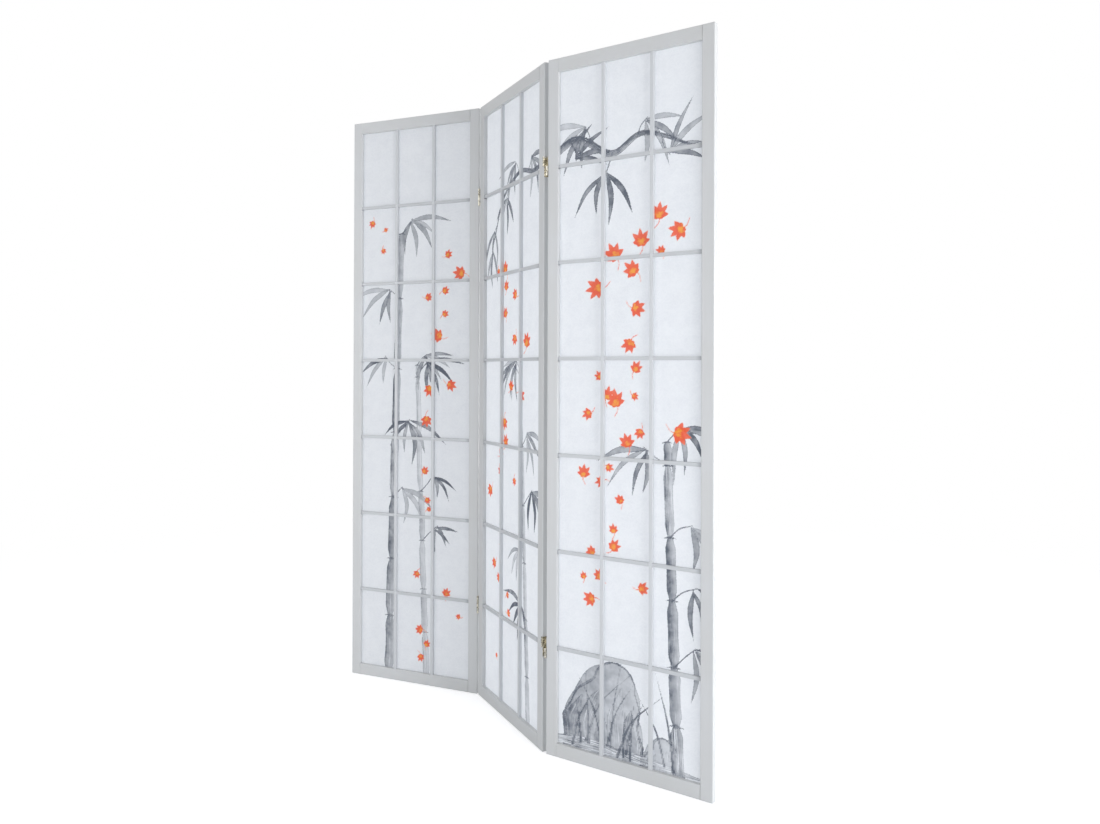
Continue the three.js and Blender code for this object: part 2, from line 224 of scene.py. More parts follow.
def white_satin_lacquer(name, colour, shade, panel, level, shaded_ends=False):
    """Lacquered wood whose grain runs up a panel, or level across it."""
    material, tree = new_material(name)
    place = add_node(tree, "ShaderNodeTexCoord").outputs["Object"]
    straight = add_node(tree, "ShaderNodeMapping", {"Vector": place, "Rotation": (0, 0, -ANGLES[panel])},
                        vector_type="POINT").outputs["Vector"]
    along = (1 / GRAIN_LENGTH, 1 / GRAIN_PITCH, 1 / GRAIN_PITCH)
    if not level:
        along = (1 / GRAIN_PITCH, 1 / GRAIN_PITCH, 1 / GRAIN_LENGTH)
    stretched = add_node(tree, "ShaderNodeMapping", {"Vector": straight, "Scale": along})
    grain = add_node(tree, "ShaderNodeTexNoise", {
        "Vector": stretched.outputs["Vector"], "Scale": 1.0, "Detail": 3.0, "Roughness": 0.6,
        "Distortion": 0.3}).outputs["Fac"]
    peel = add_node(tree, "ShaderNodeTexNoise", {
        "Vector": straight, "Scale": 1 / PEEL_SIZE, "Detail": 1.5, "Roughness": 0.45}).outputs["Fac"]
    cloud = add_node(tree, "ShaderNodeTexNoise", {
        "Vector": straight, "Scale": 1 / TONE_SIZE, "Detail": 2.0}).outputs["Fac"]

    eased = add_node(tree, "ShaderNodeBevel", {"Radius": ARRIS}, samples=4).outputs["Normal"]
    flat = add_node(tree, "ShaderNodeNewGeometry").outputs["True Normal"]
    facing = add_node(tree, "ShaderNodeVectorMath", {0: eased, 1: flat},
                      operation="DOT_PRODUCT").outputs["Value"]
    edge = add_node(tree, "ShaderNodeMapRange", {
        "Value": facing, "From Min": 0.995, "From Max": 0.8, "To Max": 0.6}).outputs["Result"]

    mottled = add_node(tree, "ShaderNodeMapRange", {
        "Value": cloud, "From Min": 0.3, "From Max": 0.7, "To Max": 0.55}).outputs["Result"]
    coat = add_node(tree, "ShaderNodeMix", {
        "Factor": mottled, "A": linear(colour), "B": linear(shade)}, data_type="RGBA").outputs["Result"]
    lines = add_node(tree, "ShaderNodeMapRange", {
        "Value": grain, "From Min": 0.52, "From Max": 0.72, "To Max": 0.10}).outputs["Result"]
    grained = add_node(tree, "ShaderNodeMix", {
        "Factor": lines, "A": coat, "B": linear(GRAIN_LINE)}, data_type="RGBA").outputs["Result"]
    # A painted highlight along the arrises, where the eased edge would catch the light.
    coat_with_painted_light = add_node(tree, "ShaderNodeMix", {
        "Factor": edge, "A": grained, "B": linear(ARRIS_HIGHLIGHT)}, data_type="RGBA").outputs["Result"]
    # Painted shadow of the stiles on the ends of the level bars.
    if shaded_ends:
        coat_with_painted_light = add_node(tree, "ShaderNodeMix", {
            "Factor": painted_end_shade_mask(tree, straight, panel), "A": coat_with_painted_light, "B": linear(END_SHADE_COLOUR)},
            data_type="RGBA").outputs["Result"]
    sheen = add_node(tree, "ShaderNodeMapRange", {
        "Value": grain, "From Min": 0.3, "From Max": 0.7,
        "To Min": 0.36, "To Max": 0.46}).outputs["Result"]

    ripple = add_node(tree, "ShaderNodeBump", {
        "Height": peel, "Strength": 0.35, "Distance": PEEL_DEPTH, "Normal": eased}).outputs["Normal"]
    relief = add_node(tree, "ShaderNodeBump", {
        "Height": grain, "Strength": 0.5, "Distance": GRAIN_DEPTH, "Normal": ripple}).outputs["Normal"]
    surface = add_node(tree, "ShaderNodeBsdfPrincipled", {
        "Base Color": coat_with_painted_light, "Roughness": sheen, "IOR": 1.5, "Normal": relief}).outputs["BSDF"]
    add_node(tree, "ShaderNodeOutputMaterial", {"Surface": surface})
    return material


def dress(name, material):
    slots = nodes[name].data.materials
    slots.clear()
    slots.append(material)


# A coat's colour and the shade of it that clouds it, on upright and on level pieces.
UPRIGHT_COAT = {"frame": ("#CFD1D2", "#CACBC9"), "lattice": ("#D0D3D6", "#CACDCF")}
# The level bars of the lattice get a greyer copy of its coat, as painted shade, since they look darker
# than the upright bars.
LEVEL_COAT_WITH_PAINTED_SHADE = {"frame": ("#CFD1D2", "#CACBC9"), "lattice": ("#C8CBCE", "#C1C4C6")}
painted = 0
for panel in PANELS:
    for part in ("frame", "lattice"):
        upright = white_satin_lacquer(f"{panel}_{part}_lacquer_upright", *UPRIGHT_COAT[part], panel, False)
        level = white_satin_lacquer(f"{panel}_{part}_lacquer_level", *LEVEL_COAT_WITH_PAINTED_SHADE[part], panel, True,
                                    shaded_ends=part == "lattice")
        words = ("stile", "rail") if part == "frame" else ("vertical", "level")
        for name in nodes:
            if name.startswith(panel) and words[0] in name:
                dress(name, upright)
                painted += 1
            elif name.startswith(panel) and words[1] in name:
                dress(name, level)
                painted += 1
print("lacquered", painted, "pieces of wood")

# %% [markdown]
# ## Polished brass, a little darkened
# The hinges are stamped brass, polished and then left to the air, so their bright skin carries a
# brown bloom in patches. Brass is a metal: its colour is in its reflection. A soft noise a few
# millimetres across moves the colour between the bright and the darkened brass and the roughness
# with it, and hairline scratches from polishing run round the barrels. A real scratch is finer
# than the ones here, which are as coarse as they need to be to show.

# %% Make the brass
BLOOM_SIZE = 5 * MM
HAIRLINE_PITCH = 0.25 * MM
HAIRLINE_LENGTH = 12 * MM
HAIRLINE_DEPTH = 0.02 * MM


def aged_brass(name, bright, dark):
    material, tree = new_material(name)
    place = add_node(tree, "ShaderNodeTexCoord").outputs["Object"]
    bloom = add_node(tree, "ShaderNodeTexNoise", {
        "Vector": place, "Scale": 1 / BLOOM_SIZE, "Detail": 4.0, "Roughness": 0.6}).outputs["Fac"]
    squeezed = add_node(tree, "ShaderNodeMapping", {
        "Vector": place, "Scale": (1 / HAIRLINE_LENGTH, 1 / HAIRLINE_LENGTH, 1 / HAIRLINE_PITCH)})
    hairline = add_node(tree, "ShaderNodeTexNoise", {
        "Vector": squeezed.outputs["Vector"], "Scale": 1.0, "Detail": 2.0}).outputs["Fac"]
    amount = add_node(tree, "ShaderNodeMapRange", {
        "Value": bloom, "From Min": 0.46, "From Max": 0.64}).outputs["Result"]
    colour = add_node(tree, "ShaderNodeMix", {
        "Factor": amount, "A": linear(bright), "B": linear(dark)}, data_type="RGBA").outputs["Result"]
    rough = add_node(tree, "ShaderNodeMapRange", {
        "Value": bloom, "From Min": 0.3, "From Max": 0.7,
        "To Min": 0.12, "To Max": 0.30}).outputs["Result"]
    scratched = add_node(tree, "ShaderNodeBump", {
        "Height": hairline, "Strength": 0.25, "Distance": HAIRLINE_DEPTH}).outputs["Normal"]
    surface = add_node(tree, "ShaderNodeBsdfPrincipled", {
        "Base Color": colour, "Metallic": 1.0, "Roughness": rough, "Normal": scratched}).outputs["BSDF"]
    add_node(tree, "ShaderNodeOutputMaterial", {"Surface": surface})
    return material


brass = aged_brass("polished_brass", "#F3EEDF", "#57513D")
hinge_pieces = [name for name in nodes if "_hinge_" in name]
for name in hinge_pieces:
    dress(name, brass)
print("brass on", len(hinge_pieces), "pieces of the hinges")

# %% [markdown]
# ## The screws of the hinges
# Each leaf is held to the edge of its stile by three countersunk screws with a cross recess. Only
# their heads can be seen, in the narrow joint or when the panel stands open, so each is just its
# head, which ends inside the leaf. A cone gives the head, two crossed blades cut its recess, and
# a Boolean modifier does the cutting before the screw is copied.

# %% Make one screw
HEAD_RADIUS = 3.0 * MM
NECK_RADIUS = 1.6 * MM
HEAD_DEPTH = 0.85 * MM
RIM_BEVEL = 0.12 * MM
RECESS_LENGTH = 3.2 * MM
RECESS_WIDTH = 0.7 * MM
RECESS_DEPTH = 0.5 * MM


def object_from(bm, name):
    mesh = bpy.data.meshes.new(name)
    bm.to_mesh(mesh)
    bm.free()
    made = bpy.data.objects.new(name, mesh)
    bpy.context.collection.objects.link(made)
    return made


def apply_modifiers(piece):
    bpy.context.view_layer.update()
    solved = bpy.data.meshes.new_from_object(piece.evaluated_get(bpy.context.evaluated_depsgraph_get()))
    piece.modifiers.clear()
    piece.data = solved


def make_screw():
    """One screw whose head faces +X, with the middle of its face at the origin."""
    bm = bmesh.new()
    bmesh.ops.create_cone(bm, cap_ends=True, segments=32, radius1=NECK_RADIUS, radius2=HEAD_RADIUS,
                          depth=HEAD_DEPTH, matrix=Matrix.Translation((0, 0, -HEAD_DEPTH / 2)))
    rim = [e for e in bm.edges if all(v.co.z > -HEAD_DEPTH / 4 for v in e.verts)]
    bmesh.ops.bevel(bm, geom=rim, offset=RIM_BEVEL, segments=2, profile=0.5, affect="EDGES", material=-1)
    head = object_from(bm, "screw_head")
    bm = bmesh.new()
    for size in ((RECESS_LENGTH, RECESS_WIDTH), (RECESS_WIDTH, RECESS_LENGTH)):
        made = bmesh.ops.create_cube(bm, size=1.0)["verts"]
        bmesh.ops.scale(bm, vec=(size[0], size[1], 2 * RECESS_DEPTH), verts=made)
    blades = object_from(bm, "screw_blades")
    cutter = head.modifiers.new("recess", "BOOLEAN")
    cutter.object = blades
    cutter.use_self = True
    apply_modifiers(head)
    bpy.data.objects.remove(blades)
    head.data.transform(Matrix.Rotation(math.radians(90), 4, "Y"))
    return head


pattern_screw = make_screw()
print("one screw has", len(pattern_screw.data.polygons), "faces")

# %% [markdown]
# ## Screws in every leaf
# A leaf sits on the edge of its panel, so a screw's place is easiest in that panel's own axes: at
# the edge, on the middle of the wood's thickness, and 17 mm apart. Each screw is turned by its
# own chance angle, as hands leave them, and the three of one leaf ride with its panel.

# %% Drive the screws
SCREW_PITCH = 17 * MM
FACE_INSET = 0.05 * MM
PLATE_REACH = 5 * MM  # a leaf's plate is what lies this near to the middle of the wood
random.seed(17)


def leaf_screws(leaf, panel, side):
    points = in_panel(leaf, panel)
    height = (points[:, 2].max() + points[:, 2].min()) / 2
    on_plate = np.abs(points[:, 1] - MID_PLANE) < PLATE_REACH
    face = side * (np.abs(points[on_plate, 0]).max() - FACE_INSET)
    bm = bmesh.new()
    for step in (-1, 0, 1):
        turn = Matrix.Rotation(random.uniform(0, math.pi), 4, "X")
        place = Matrix.Translation((face, MID_PLANE, height + step * SCREW_PITCH))
        outwards = Matrix.Rotation(0 if side > 0 else math.pi, 4, "Z")
        start = len(bm.verts)
        bm.from_mesh(pattern_screw.data)
        bm.verts.ensure_lookup_table()
        bmesh.ops.transform(bm, matrix=AXES[panel] @ place @ outwards @ turn, verts=bm.verts[start:])
    screws = object_from(bm, leaf.replace("leaf", "screws"))
    screws.data.materials.append(brass)
    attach(screws, f"{panel}_panel")
    return screws


driven = []
for joint, side in (("left", RIGHT), ("right", LEFT)):
    for level in ("upper", "lower"):
        driven.append(leaf_screws(f"{joint}_hinge_{level}_outer_leaf", joint, side))
        driven.append(leaf_screws(f"{joint}_hinge_{level}_inner_leaf", "middle", -side))
bpy.data.objects.remove(pattern_screw)
print("screws in", len(driven), "leaves,", len(driven[0].data.polygons), "faces in each three")

# %% [markdown]
# ## The brushwork on the paper
# The sheets carry a generic ink painting: bamboo in thinned grey ink, with orange-red maple
# leaves adrift in it. Ink could be a picture, but a picture is not made of anything. Here each
# brush stroke is a line of points with a width, and every point of the sheet learns how deep it
# lies inside the nearest stroke, in millimetres. The material then turns that depth into an edge,
# so strokes stay crisp on a mesh far coarser than a picture's pixels. The same points also learn
# where they lie along and across the stroke, which lets the bristles' streaks follow the brush.

# %% The canvas that strokes are laid on
# All lengths on the canvas are in millimetres.
CANVAS_STEP = 2.6  # between the points of the sheet
FAR = -30.0  # the depth of a point that no stroke comes near
MARGIN = 10.0  # how far outside a stroke its depth is still worked out
INK_ON_INK = 0.55


class Canvas:
    """The points of one sheet, in millimetres from its panel's lower left corner."""

    def __init__(self, points):
        self.points = points
        count = len(points)
        self.ink = np.full(count, FAR)
        self.tone = np.zeros(count)
        self.dry = np.zeros(count)
        self.brush = np.zeros((count, 3))
        self.leaf = np.full(count, FAR)
        self.heart = np.ones(count)

    def depth_in(self, path, widths):
        """Which points a stroke may touch, how deep they are in it, and where along and across."""
        reach = max(widths) + MARGIN
        low, high = path.min(0) - reach, path.max(0) + reach
        near = np.flatnonzero(np.all((self.points > low) & (self.points < high), axis=1))
        spot = self.points[near][:, None, :]
        start, run = path[:-1], np.diff(path, axis=0)
        length = np.maximum(np.linalg.norm(run, axis=1), 1e-6)
        share = np.clip(((spot - start) * run).sum(2) / length ** 2, 0, 1)
        offset = spot - (start + share[..., None] * run)
        side = (run[:, 0] * offset[..., 1] - run[:, 1] * offset[..., 0]) / length
        depth = widths[:-1] + share * np.diff(widths) - np.linalg.norm(offset, axis=2)
        best = depth.argmax(1)
        rows = np.arange(len(near))
        travelled = np.concatenate([[0], np.cumsum(length)])[:-1]
        along = travelled[best] + share[rows, best] * length[best]
        return near, depth[rows, best], along, side[rows, best]

    def stroke(self, path, widths, tone, dry, seed, lean=0.0):
        """Lay a stroke. Its own edge shows over older ink, and ink on ink gets darker."""
        near, depth, along, across = self.depth_in(path, widths)
        fresh = tone * (1 + lean * across / widths.max())
        over = (depth > 0) & (self.ink[near] > 0)
        wins = (depth > self.ink[near]) | over
        hit = near[wins]
        doubled = 1 - (1 - self.tone[near]) * (1 - INK_ON_INK * np.clip(fresh, 0, 1))
        self.tone[hit] = np.where(over, doubled, fresh)[wins]
        self.ink[hit], self.dry[hit] = depth[wins], dry
        self.brush[hit] = np.stack([along[wins], across[wins], np.full(wins.sum(), seed)], axis=1)

    def lobe(self, path, widths, centre, size):
        """Lay a lobe or a stalk of a leaf, and note how far each point is from the leaf's heart."""
        near, depth, _, _ = self.depth_in(path, widths)
        wins = depth > self.leaf[near]
        hit = near[wins]
        self.leaf[hit] = depth[wins]
        self.heart[hit] = np.linalg.norm(self.points[hit] - centre, axis=1) / size


trial = Canvas(np.array([[0.0, 1.0], [20.0, 3.0]]))
trial.stroke(np.array([[-10.0, 0.0], [40.0, 0.0]]), np.array([4.0, 4.0]), 1.0, 0.0, 0.0)
print("two points lie", trial.ink.tolist(), "mm deep in a stroke that is 8 mm wide")

# %% [markdown]
# A brush moves in a smooth sweep, so a stroke is given by a few points and a spline fills in the
# rest. Its width swells and tapers by a short list of shares of its widest point. Each stroke
# has a number of its own, from a freshly loaded brush, so that no two show the same streaks.

# %% Strokes


def sweep(points, step=5.0):
    """A smooth line through a few points, as a Catmull-Rom spline."""
    points = np.array(points, dtype=float)
    ends = np.vstack([2 * points[0] - points[1], points, 2 * points[-1] - points[-2]])
    line = []
    for a, b, c, d in zip(ends, ends[1:], ends[2:], ends[3:]):
        count = max(2, int(np.linalg.norm(c - b) / step))
        for t in np.arange(count) / count:
            line.append(0.5 * (2 * b + (c - a) * t + (2 * a - 5 * b + 4 * c - d) * t ** 2
                               + (3 * b - a - 3 * c + d) * t ** 3))
    return np.vstack([line, points[-1]])


def swell(line, widest, shares):
    places = np.linspace(0, 1, len(line))
    return widest * np.interp(places, np.linspace(0, 1, len(shares)), shares)


def heading(degrees):
    return np.array([math.cos(math.radians(degrees)), math.sin(math.radians(degrees))])


def fresh_brush():
    return random.random() * 90


print("a sweep through three points has", len(sweep([(0, 0), (40, 30), (100, 0)])), "points")

# %% [markdown]
# A culm grows in lengths, a little longer from one to the next and slimmer towards its top, and
# the brush is lifted where two meet. A leaf is one stroke. A hand of them hangs from each twig,
# and a maple leaf is seven lobes that spread from one heart.

# %% Culms and leaves
JOINT_GAP = 3.5
CULM_SHARES = (0.55, 1, 0.93, 0.9, 0.93, 1, 0.55)
BLADE_SHARES = (0.12, 0.6, 0.95, 1, 0.86, 0.6, 0.3, 0.02)
LOBE_SHARES = (0.7, 0.95, 1, 0.82, 0.45, 0.0)


def culm(canvas, foot, top, half_width, joint, tone, dry):
    """A bamboo stem: a stroke for each length, and a thin dark ring where two meet, whose places
    it returns."""
    foot, top = np.array(foot, float), np.array(top, float)
    length = np.linalg.norm(top - foot)
    way = (top - foot) / length
    side = np.array([way[1], -way[0]])
    at, places = 0.0, []
    while at < length:
        run = min(joint * (0.85 + 0.3 * at / length) * random.uniform(0.92, 1.08), length - at)
        width = half_width * (1 - 0.35 * at / length)
        bend = side * random.uniform(-2.5, 2.5)
        line = sweep([foot + way * (at + JOINT_GAP), foot + way * (at + run / 2) + bend,
                      foot + way * (at + run - JOINT_GAP)])
        canvas.stroke(line, swell(line, width, CULM_SHARES), tone * random.uniform(0.85, 1.1),
                      dry * random.uniform(0.8, 1.2), fresh_brush(), lean=0.45)
        at += run
        places.append(foot + way * at)
        ring = sweep([foot + way * at - side * width * 1.15 - way * 1.5, foot + way * (at + 1.6),
                      foot + way * at + side * width * 1.15 - way * 1.5])
        canvas.stroke(ring, swell(ring, 1.7, (0.5, 1, 0.8, 1, 0.4)), min(1.0, tone * 1.5), 0.1,
                      fresh_brush())
    return places


def blade(canvas, root, degrees, length, width, tone):
    """One bamboo leaf: pressed down near its root, lifted to a point."""
    root, way = np.array(root, float), heading(degrees)
    sideways = heading(degrees - 90)
    droop = sideways * length * random.uniform(0.04, 0.12) * np.sign(math.cos(math.radians(degrees)))
    line = sweep([root, root + way * length * 0.5 - droop * 0.6, root + way * length + droop])
    canvas.stroke(line, swell(line, width, BLADE_SHARES), tone, random.uniform(0.15, 0.5), fresh_brush())


def spray(canvas, root, degrees, twig, blades, length, tone):
    """A twig with a hand of leaves hanging from its end."""
    root = np.array(root, float)
    end = root + heading(degrees) * twig
    middle = root + heading(degrees + random.uniform(-14, 14)) * twig * 0.5
    line = sweep([root, middle, end])
    canvas.stroke(line, swell(line, 1.8, (1, 0.7, 0.8, 0.5)), min(1.0, tone * 1.2), 0.2, fresh_brush())
    hang = degrees * 0.3 + (-63 if math.cos(math.radians(degrees)) > 0 else 189)
    for i in range(blades):
        spread = (i - (blades - 1) / 2) * random.uniform(24, 32)
        start = root + (end - root) * random.uniform(0.78, 1.0)
        blade(canvas, start, hang + spread, length * random.uniform(0.75, 1.15),
              length * random.uniform(0.048, 0.066), tone * random.uniform(0.55, 1.3))


# Each lobe of a maple leaf: its turn from the middle one, and its share of the leaf's reach.
LOBES = ((0, 1.0), (40, 0.92), (-40, 0.92), (84, 0.7), (-84, 0.7), (128, 0.4), (-128, 0.4))


def maple_leaf(canvas, centre, size, degrees):
    centre = np.array(centre, float)
    for turn, share in LOBES:
        tip = centre + heading(degrees + turn) * size * share * random.uniform(0.9, 1.06)
        line = sweep([centre, (centre + tip) / 2, tip], step=2.0)
        canvas.lobe(line, swell(line, 0.2 * size, LOBE_SHARES), centre, size)
    bend = random.choice((-1, 1))
    stalk = sweep([centre, centre - heading(degrees + 8 * bend) * size * 0.5,
                   centre - heading(degrees - 14 * bend) * size * 0.95])
    canvas.lobe(stalk, swell(stalk, 1.3, (1, 0.8, 0.7)), centre, size)


STILE, OPENING = 30, 380


def drift(canvas, points, spread, count, sizes=(16, 35)):
    """Maple leaves let fall along a line, none on top of another, their hearts off the stiles."""
    line, placed = sweep(points), []
    while len(placed) < count:
        spot = line[random.randrange(len(line))]
        spot = spot + np.array([random.gauss(0, spread), random.gauss(0, spread)])
        size = random.uniform(*sizes)
        inside = size * 0.6 < spot[0] - STILE < OPENING - size * 0.6
        if inside and all(np.linalg.norm(spot - other) > 0.85 * (size + reach) for other, reach in placed):
            placed.append((spot, size))
            maple_leaf(canvas, spot, size, random.uniform(0, 360))


print("a maple leaf has", len(LOBES), "lobes, from", LOBES[0][1], "down to", LOBES[-1][1], "of its reach")


# %% [markdown]
# ## Composing the three sheets
# Heights are millimetres from the floor and widths from each panel's left edge. Two stems of
# bamboo stand in the left panel, and one leans under a branch in the middle. On the right a branch
# reaches in over a large rock, a small one, grass and one more stem. The maple leaves drift down
# through all three.

# %% Paint the sheets


def stem_with_sprays(canvas, foot, top, half_width, joint, tone, skip, length):
    """A culm with a spray of leaves at every joint but the lowest few."""
    for place in culm(canvas, foot, top, half_width, joint, tone, 0.55)[skip:]:
        way = random.choice((-1, 1))
        spray(canvas, place, 90 - way * random.uniform(38, 60), random.uniform(45, 75),
              random.choice((3, 4, 5)), length * random.uniform(0.85, 1.15), random.uniform(0.6, 1.0))


def paint_left(canvas):
    stem_with_sprays(canvas, (262, 20), (226, 980), 12, 160, 0.38, 2, 104)
    stem_with_sprays(canvas, (128, 20), (168, 1390), 17, 205, 0.62, 2, 122)
    drift(canvas, [(330, 1330), (300, 1060), (330, 820)], 34, 9)
    drift(canvas, [(330, 700), (210, 470), (330, 250), (200, 90)], 45, 9, (12, 25))
    drift(canvas, [(90, 1500), (90, 1250)], 30, 3, (12, 20))


def paint_middle(canvas):
    stem_with_sprays(canvas, (330, 20), (272, 960), 13, 165, 0.5, 1, 108)
    branch = sweep([(440, 1520), (360, 1492), (262, 1506), (150, 1450), (92, 1350)])
    canvas.stroke(branch, swell(branch, 7.5, (1, 0.85, 0.7, 0.5, 0.25)), 0.85, 0.45, 12.0)
    for place, turn in (((380, 1500), 300), ((318, 1498), 58), ((262, 1506), 128), ((200, 1482), 235),
                        ((120, 1400), 225), ((92, 1350), 250)):
        spray(canvas, place, turn, 46, random.choice((3, 4)), 112, random.uniform(0.6, 1.0))
    drift(canvas, [(110, 1240), (230, 1090), (170, 900), (110, 640)], 44, 15)
    drift(canvas, [(110, 520), (190, 300), (120, 120)], 40, 7, (12, 26))


# Each plane of a rock: its place across, where it starts and ends on the way up, its strength.
PLANES = ((-0.78, 0.0, 0.74, 1.0), (-0.42, 0.05, 0.9, 0.35), (0.0, 0.0, 0.62, 0.5),
          (0.34, 0.2, 1.0, 0.3), (0.74, 0.0, 0.8, 0.8))
ROCK_SHARES = (1.0, 0.93, 0.98, 0.82, 0.76, 0.5)
OUTLINE_SHARES = (0.9, 1, 0.45, 0.9, 0.35, 0.7, 1, 0.6)


def boulder(canvas, foot, peak, half_width, tone):
    """A rock: one broad wash, planes laid down its sides with a dry brush, and a wet line round it."""
    foot, peak = np.array(foot, float), np.array(peak, float)
    way = (peak - foot) / np.linalg.norm(peak - foot)
    side = np.array([way[1], -way[0]])
    spine = sweep([foot, foot + (peak - foot) * 0.55 - side * half_width * 0.16, peak])
    widths = swell(spine, half_width, ROCK_SHARES)
    canvas.stroke(spine, widths, tone * 0.5, 0.34, fresh_brush(), lean=0.3)
    for share, low, high, strength in PLANES:
        part = slice(int(low * len(spine)), int(high * len(spine)))
        line = spine[part] + side * share * widths[part, None]
        canvas.stroke(line, swell(line, 0.21 * half_width, (0.8, 1, 0.9, 0.6, 0.1)), tone * strength,
                      0.56, fresh_brush(), lean=0.5)
    turns = np.linspace(math.pi, 0, 9)[1:-1]
    cap = [peak + widths[-1] * (side * math.cos(a) + way * math.sin(a)) for a in turns]
    edge = np.vstack([spine - side * widths[:, None], cap, (spine + side * widths[:, None])[::-1]])
    canvas.stroke(edge, swell(edge, 4.0, OUTLINE_SHARES), tone, 0.42, fresh_brush())


def paint_right(canvas):
    branch = sweep([(0, 1502), (80, 1540), (176, 1492), (262, 1530), (392, 1480)])
    canvas.stroke(branch, swell(branch, 10.0, (1, 0.9, 0.8, 0.55, 0.2)), 0.95, 0.6, 31.0, lean=0.4)
    for place, turn in (((62, 1532), 286), ((120, 1524), 112), ((176, 1492), 250), ((244, 1524), 58),
                        ((306, 1514), 296)):
        spray(canvas, place, turn, 50, random.choice((3, 4)), 120, random.uniform(0.55, 0.95))
    boulder(canvas, (156, 10), (186, 206), 112, 1.0)
    boulder(canvas, (322, 10), (314, 84), 54, 0.75)
    for reach, rise, width, tone in ((410, 30, 14, 0.5), (300, 44, 10, 0.7)):
        bank = sweep([(8, 34 + rise * 0.3), (reach * 0.45, 34 + rise * 0.5), (reach, 40)])
        canvas.stroke(bank, swell(bank, width, (0.5, 1, 0.9, 0.7, 0.15)), tone, 0.7, reach * 0.3)
    stem_with_sprays(canvas, (352, 20), (322, 800), 16, 150, 0.72, 1, 116)
    for _ in range(14):
        root = np.array((random.uniform(60, 340), random.uniform(38, 62)))
        lean, reach = random.uniform(66, 114), random.uniform(110, 230)
        line = sweep([root, root + heading(lean) * reach * 0.5,
                      root + heading(lean + (lean - 90) * 0.5) * reach])
        canvas.stroke(line, swell(line, 3.0, (1, 0.9, 0.6, 0.1)), random.uniform(0.5, 0.95), 0.3,
                      fresh_brush())
    drift(canvas, [(350, 1330), (240, 1210), (290, 1040), (170, 880)], 46, 15, (17, 38))
    drift(canvas, [(110, 900), (190, 640), (110, 480), (260, 400)], 46, 14, (15, 32))


PAINTERS = {"left": paint_left, "middle": paint_middle, "right": paint_right}
print("paintings ready for the panels", ", ".join(PAINTERS))

# %% [markdown]
# ## Fibre paper
# Screen paper is a thin sheet of long white fibres bonded by a film. It is matt, it passes more
# than a third of the light that falls on its back, and close up the fibres show as fine curly
# threads, a shade whiter than the rest. So the material mixes a matt surface with a Translucent
# one of the same colour. The threads are the level lines of a noise, which wander as fibres do,
# and those of three noises cross. The ink adds its own grain: dry bristles skip the paper, and
# thinned ink pools at its edge.

# %% Make the paper's material
# The sheet's UV map is turned to millimetres, so these sizes are in millimetres too.
FIBRE_CURL = 14.0
CLOUD_SIZE = 40.0
TOOTH_SIZE = 0.9
BRISTLE_LENGTH, BRISTLE_PITCH = 70.0, 1.5
FIBRE_BAND = 0.045  # how near to the noise's middle level a fibre keeps
PASSED_LIGHT = 0.38
PAPER_WHITE, PAPER_SHADE, FIBRE_WHITE = "#EDF0F3", "#E7EAEE", "#F7F9FB"
INK, LEAF_BLEED = "#4D5563", "#F6B9A8"
LEAF_HEART, LEAF_RED, LEAF_TIP = "#F5A63A", "#EE5A36", "#F07E64"


